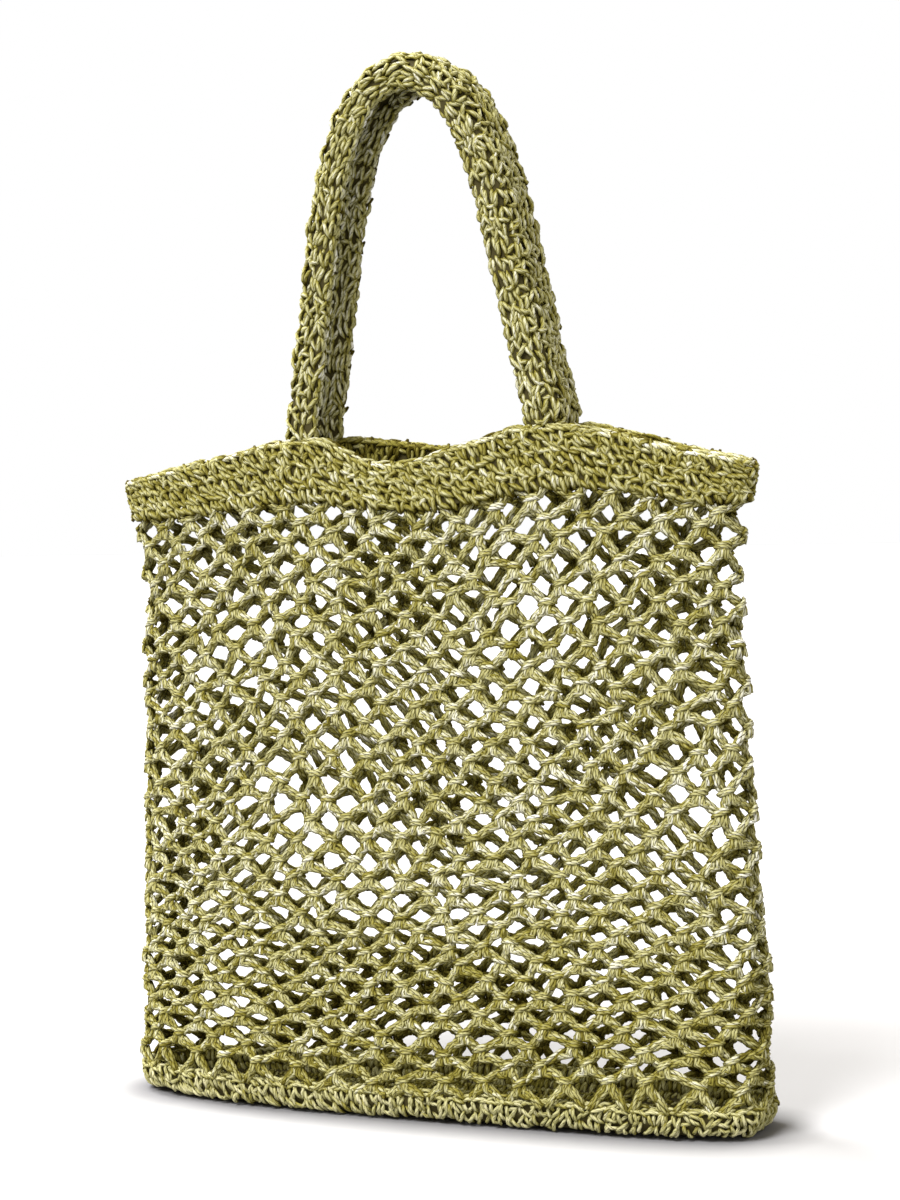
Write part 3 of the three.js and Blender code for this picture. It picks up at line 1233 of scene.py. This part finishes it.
@dataclass
class Handle:
    """The handle: a crocheted band curled into a channel that opens to the inside of its arch.

    Rows run along the arch and columns across the band, fewer on its inside. `web_share` is the share of
    the band on each side of its middle that is worked as the web, and the rest as the two flanges. Every
    other row stands proud by `ridge`.
    """

    line: tuple[LinePoint, ...] = (
        LinePoint(77.2, 398.3),
        LinePoint(77.2, 408),
        LinePoint(73, 428),
        LinePoint(67.2, 460),
        LinePoint(60.7, 495),
        LinePoint(54.2, 528),
        LinePoint(46.7, 556),
        LinePoint(36.5, 580.8),
        LinePoint(20.6, 599.6),
        LinePoint(0, 607.2),
    )
    depth: float = 39.0
    thickness: float = 17.5
    wall: float = 5.0
    bend_radius: float = 8.5
    bend_steps: int = 13
    section_step: float = 0.8
    lean: float = 1.3
    fine_steps: int = 1200
    rows: int = 62
    columns: int = 12
    inner_columns: int = 9
    ripples: tuple[Ripple, ...] = (Ripple(0.35, 0.37, 1.3), Ripple(0.25, 0.9, -0.8))
    lift: float = 0.35
    ridge: float = 0.55
    ridge_spread: float = 0.3
    stretch_step: float = 0.2
    least_stretch: float = 0.8
    most_stretch: float = 1.6
    web_share: float = 0.3
    web_cut: StrandCut = StrandCut(1.5, 1.3, ends=0.55, end_painted_shade=0.65, side_painted_shade=0.95, variety=0.55)
    web: Stitch = Stitch(
        6.4, 8.2, web_cut, spread=0.55, tilt=0.45, bend=1.25, depth=0.4, loops=0.55, tone=0.05
    )
    flange_cut: StrandCut = StrandCut(1.45, 1.25, ends=0.55, end_painted_shade=0.65, side_painted_shade=0.95, variety=0.55)
    flange: Stitch = Stitch(5.6, 9.2, flange_cut, spread=0.42, tilt=0.32, bend=1.25, loops=0.2, tone=0.06)
    # The inner surface is painted lighter: painted light in the channel's shade.
    inner_painted_light: float = 0.08
    lip: Stitch = Stitch(5.2, 1.0, StrandCut(1.4, 1.3))
    lip_lift: float = 0.3
    seed: int = 41

    def curve(self) -> tuple[Array, Array]:
        """The arch's middle line in fine steps.

        Returns:
            Its points' x and z, and the way run along it.
        """
        right = np.array([(row.x, row.z) for row in self.line])
        points = np.concatenate([right * (-1, 1), right[-2::-1]]) - right[-1]
        lean = math.radians(self.lean)
        turn = np.array([[math.cos(lean), math.sin(lean)], [-math.sin(lean), math.cos(lean)]])
        points = points @ turn + right[-1]
        knots = np.concatenate([[0], np.sqrt(np.linalg.norm(np.diff(points, axis=0), axis=1)).cumsum()])
        slope = np.gradient(points, knots, axis=0, edge_order=1)
        fine = np.linspace(0, knots[-1], self.fine_steps)
        i = np.clip(np.searchsorted(knots, fine) - 1, 0, len(knots) - 2)
        gap = (knots[i + 1] - knots[i])[:, None]
        t = (fine - knots[i])[:, None] / gap
        points = hermite(t, (points[i], points[i + 1]), (gap * slope[i], gap * slope[i + 1]))
        return points, run_along(points)

    def middle_line(self, share: Array) -> tuple[Array, Array, Array]:
        """Places along the arch.

        Args:
            share: 0 at the left foot, 1 at the right foot.

        Returns:
            The points, the directions along the arch and those to its inside.
        """
        curve, run = self.curve()
        at = share * run[-1]
        slope = np.gradient(curve, axis=0)
        x, z, right, up = [np.interp(at, run, values) for values in (*curve.T, *slope.T)]
        along = unit(np.stack([right, 0 * at, up], axis=-1))
        inside = np.stack([along[:, 2], 0 * at, -along[:, 0]], axis=-1)
        return np.stack([x, 0 * at, z], axis=-1), along, inside

    def section(self, share: Array, depth: float) -> tuple[Array, Array]:
        """Places around the channel's section.

        Args:
            share: 0 at the front lip, 1 at the back lip.
            depth: Millimetres below the outer surface.

        Returns:
            Points and outward directions, as columns to the front and to the inside of the arch.
        """
        front = self.depth / 2 - depth
        web = -self.thickness / 2 + depth
        radius = self.bend_radius - depth
        turn = np.linspace(0, math.pi / 2, self.bend_steps)
        corner = np.array([front - radius, web + radius])
        arc = corner + radius * np.stack([np.cos(turn), -np.sin(turn)], axis=-1)
        half = np.concatenate([[[front, self.thickness / 2]], arc])
        outline = np.concatenate([half, half[::-1] * (-1, 1)])
        run = run_along(outline)
        places = []
        for step in (0, self.section_step, -self.section_step):
            at = np.clip(share * run[-1] + step, 0, run[-1])
            places.append(np.stack([np.interp(at, run, values) for values in outline.T], axis=-1))
        along = unit(places[1] - places[2])
        return places[0], np.stack([-along[:, 1], along[:, 0]], axis=-1)

    def patch(self, along_share: Array, around_share: Array, depth: float, facing: float) -> Patch:
        """Stitch places on the channel.

        Args:
            along_share: 0 to 1 from foot to foot.
            around_share: 0 to 1 from the front lip to the back lip.
            depth: Millimetres below the outer surface.
            facing: 1 on the outer surface, -1 on the inner one.

        Returns:
            The places with their directions.
        """
        point, along, inside = self.middle_line(np.clip(along_share, 0, 1))
        place, normal = self.section(around_share, depth)
        out = facing * (normal[:, :1] * FRONT + normal[:, 1:] * inside)
        centre = point + place[:, :1] * FRONT + place[:, 1:] * inside + self.lift * out
        return Patch(centre, np.cross(along, out), along, out)

    def build(self, finish: bpy.types.Material) -> bpy.types.Object:
        """Makes the handle's stitches, which lie on its solid.

        Args:
            finish: The straw.

        Returns:
            The new piece.
        """
        strands = StrandMesh(self.seed)
        length = float(self.curve()[1][-1])
        self.add_band(strands, length, self.columns, 0.0, 1.0)
        self.add_band(strands, length, self.inner_columns, self.wall, -1.0)
        self.add_lips(strands, length)
        return strands.build("handle_stitches", finish)

    def add_band(self, strands: StrandMesh, length: float, columns: int, depth: float, facing: float) -> None:
        """Adds the stitches of one surface of the band, drawn out where the arch is longer.

        Args:
            strands: The mesh that gets them.
            length: Length of the arch's middle line.
            columns: Stitches across the band.
            depth: Millimetres of the surface below the outer one.
            facing: 1 on the outer surface, -1 on the inner one.
        """
        row, column = np.meshgrid(np.arange(self.rows), np.arange(columns), indexing="ij")
        row, column = row.ravel(), column.ravel()
        swing = sum(r.height * np.sin(r.along * row + r.across * column) for r in self.ripples)
        share = (row + 0.5 + swing) / self.rows
        across = (column + 0.5) / columns
        patch = self.patch(share, across, depth, facing)
        step = self.stretch_step / self.rows
        ends = [self.patch(share + s, across, depth, facing).centre for s in (-step, step)]
        stretch = np.linalg.norm(ends[1] - ends[0], axis=-1) / (2 * step * length)
        patch.up = np.clip(stretch, self.least_stretch, self.most_stretch)[:, None] * patch.up
        ridge = self.ridge * np.where(row % 2 == 0, 1, -1)
        ridge = ridge + strands.chance.normal(0, self.ridge_spread, len(row))
        patch.centre = patch.centre + ridge[:, None] * patch.out
        web = np.abs(across - 0.5) < self.web_share
        for stitch, chosen in ((self.web, web), (self.flange, ~web)):
            tone = stitch.tone + (self.inner_painted_light if facing < 0 else 0.0)
            replace(stitch, tone=tone).add(strands, patch.some(chosen))

    def add_lips(self, strands: StrandMesh, length: float) -> None:
        """Adds the braid along the channel's two lips.

        Args:
            strands: The mesh that gets it.
            length: Length of the arch's middle line.
        """
        point, along, inside = self.middle_line((np.arange(self.rows) + 0.5) / self.rows)
        for side in (-1, 1):
            centre = point + side * (self.depth - self.wall) / 2 * FRONT
            centre = centre + (self.thickness / 2 + self.lip_lift) * inside
            self.lip.sized(1.0, length / self.rows).add(strands, edge_patch(centre, along, inside))


# Matte paint gives the eye an even pale floor, with a painted contact shadow that darkens it softly where the
# bag stands close to it.
@dataclass(frozen=True)
class FloorFinish:
    """Matte floor paint with a painted contact shadow, greyer within `contact_reach` millimetres of the bag;
    little light comes back.
    """

    name: str = "matte_floor_paint"
    colour: str = "#c6c5c7"
    contact_shadow_colour: str = "#828184"
    contact_reach: float = 36.0
    contact_fall: float = 2.3
    contact_least: float = 0.3
    contact_samples: int = 16
    bounce: float = 0.25
    roughness: float = 0.9
    gloss: float = 0.1

    def material(self) -> bpy.types.Material:
        """Makes the material.

        Returns:
            The material.
        """
        finish = bpy.data.materials.new(self.name)
        finish.use_nodes = True
        tree = finish.node_tree
        # Painted contact shadow: the floor turns greyer where the bag's surfaces are near it.
        reach = {"Distance": self.contact_reach * MM}
        near = add_node(tree, "ShaderNodeAmbientOcclusion", reach, samples=self.contact_samples).outputs["AO"]
        bare = add_node(tree, "ShaderNodeMapRange", {"Value": near, "From Min": self.contact_least})
        power = {0: bare.outputs["Result"], 1: self.contact_fall}
        fall = add_node(tree, "ShaderNodeMath", power, operation="POWER").outputs[0]
        paint = {"Factor": fall, "A": linear(self.contact_shadow_colour), "B": linear(self.colour)}
        contact = add_node(tree, "ShaderNodeMix", paint, data_type="RGBA").outputs["Result"]
        seen = add_node(tree, "ShaderNodeLightPath").outputs["Is Camera Ray"]
        back = (self.bounce, self.bounce, self.bounce, 1)
        shade = add_node(tree, "ShaderNodeMix", {"Factor": seen, "A": back, "B": contact}, data_type="RGBA")
        shader = tree.nodes["Principled BSDF"]
        shader.inputs["Roughness"].default_value = self.roughness
        shader.inputs["Specular IOR Level"].default_value = self.gloss
        tree.links.new(shade.outputs["Result"], shader.inputs["Base Color"])
        return finish


@dataclass(frozen=True)
class Lamp:
    """A broad studio light: the way it comes from, its power and how wide it looks in degrees."""

    name: str
    place: tuple[float, float, float]
    power: float
    angle: float


@dataclass
class Studio:
    """The pale floor, the soft lights and the camera.

    Angles are degrees and lengths millimetres; the floor's half side is in metres.
    """

    azimuth: float = 25.0
    distance: float = 1600.0
    eye_height: float = 389.0
    pitch: float = -3.17
    yaw: float = 0.424
    roll: float = 1.85
    focal_px: float = 2726.0
    frame_height_px: float = 1200.0
    sensor: float = 36.0
    floor_half: float = 8.0
    backdrop: float = 1.0
    backdrop_colour: str = "#ffffff"
    fill: float = 0.36
    fill_colour: str = "#fff6da"
    lamps: tuple[Lamp, ...] = (
        Lamp("key", (-0.4, -1.0, 1.35), 4.5, 30.0),
        Lamp("top", (-0.5, 0.12, 1.0), 3.4, 20.0),
        Lamp("side", (0.9, -0.6, 0.45), 1.0, 50.0),
    )

    def build(self) -> None:
        """Adds the floor, the lights and the camera to the scene."""
        self.add_floor()
        self.add_surround()
        self.add_lamps()
        self.add_camera()

    def add_floor(self) -> None:
        """Adds the floor."""
        mesh = bpy.data.meshes.new("floor")
        shape = bmesh.new()
        bmesh.ops.create_grid(shape, x_segments=1, y_segments=1, size=self.floor_half)
        shape.to_mesh(mesh)
        shape.free()
        mesh.materials.append(FloorFinish().material())
        floor = add_object("floor", mesh)

    def add_surround(self) -> None:
        """Adds a white backdrop whose light on the bag is softer and warmer."""
        scene = bpy.context.scene
        scene.view_settings.view_transform = "Standard"
        world = bpy.data.worlds.new("white_surround")
        world.use_nodes = True
        tree = world.node_tree
        seen = add_node(tree, "ShaderNodeLightPath").outputs["Is Camera Ray"]
        levels = {"Value": seen, "To Min": self.fill, "To Max": self.backdrop}
        level = add_node(tree, "ShaderNodeMapRange", levels)
        tints = {"Factor": seen, "A": linear(self.fill_colour), "B": linear(self.backdrop_colour)}
        hue = add_node(tree, "ShaderNodeMix", tints, data_type="RGBA")
        tree.links.new(hue.outputs["Result"], tree.nodes["Background"].inputs["Color"])
        tree.links.new(level.outputs["Result"], tree.nodes["Background"].inputs["Strength"])
        scene.world = world

    def add_lamps(self) -> None:
        """Adds the broad lights, each turned to the bag."""
        for lamp in self.lamps:
            light = bpy.data.lights.new(lamp.name, "SUN")
            light.energy = lamp.power
            light.angle = math.radians(lamp.angle)
            holder = add_object(lamp.name, light)
            holder.location = lamp.place
            holder.rotation_euler = (-holder.location).to_track_quat("-Z", "Y").to_euler()

    def add_camera(self) -> None:
        """Adds the camera at the photograph's angle."""
        turn = math.radians(self.azimuth)
        away = Vector((math.sin(turn), -math.cos(turn), 0))
        place = away * self.distance * MM + Vector((0, 0, self.eye_height * MM))
        heading = math.radians(self.azimuth - self.yaw)
        tilt, roll = math.radians(self.pitch), math.radians(self.roll)
        level = Vector((-math.sin(heading), math.cos(heading), 0))
        forward = level * math.cos(tilt) + Vector((0, 0, math.sin(tilt)))
        right = forward.cross(Vector((0, 0, 1))).normalized()
        up = right.cross(forward)
        rolled_right = right * math.cos(roll) - up * math.sin(roll)
        rolled_up = right * math.sin(roll) + up * math.cos(roll)
        lens = bpy.data.cameras.new("camera")
        lens.sensor_width = self.sensor
        lens.lens = self.sensor * self.focal_px / self.frame_height_px
        camera = add_object("camera", lens)
        axes = Matrix((rolled_right, rolled_up, -forward)).transposed().to_4x4()
        camera.matrix_world = Matrix.Translation(place) @ axes
        bpy.context.scene.camera = camera


def main() -> None:
    """Builds the bag's pieces and the studio."""
    logging.basicConfig(level=logging.INFO, format="%(name)s: %(message)s")
    form = BagForm()
    # The net shows painted shade in the lines between plies. On the close crochet those painted lines are
    # narrower and their bumps shallower, and the base's straw has lost its pale edges.
    core = CoreFinish().material()
    straw = StrawFinish().material()
    close = StrawFinish(name="packed_paper_straw", groove_width=0.4, groove_depth=0.35)
    packed = close.material()
    worn = replace(close, name="worn_paper_straw", light="#ddd6ae").material()
    for name in ("base", "rim", "handle"):
        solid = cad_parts[name]
        solid.data.materials.clear()
        solid.data.materials.append(core)
        log.info("%s: solid kept below its stitches", name)
    for face in Face:
        NetFace(form, face).build(straw)
    Rim(form).build(packed)
    Base(form).build(worn)
    Handle().build(packed)
    Studio().build()


if __name__ == "__main__":
    main()
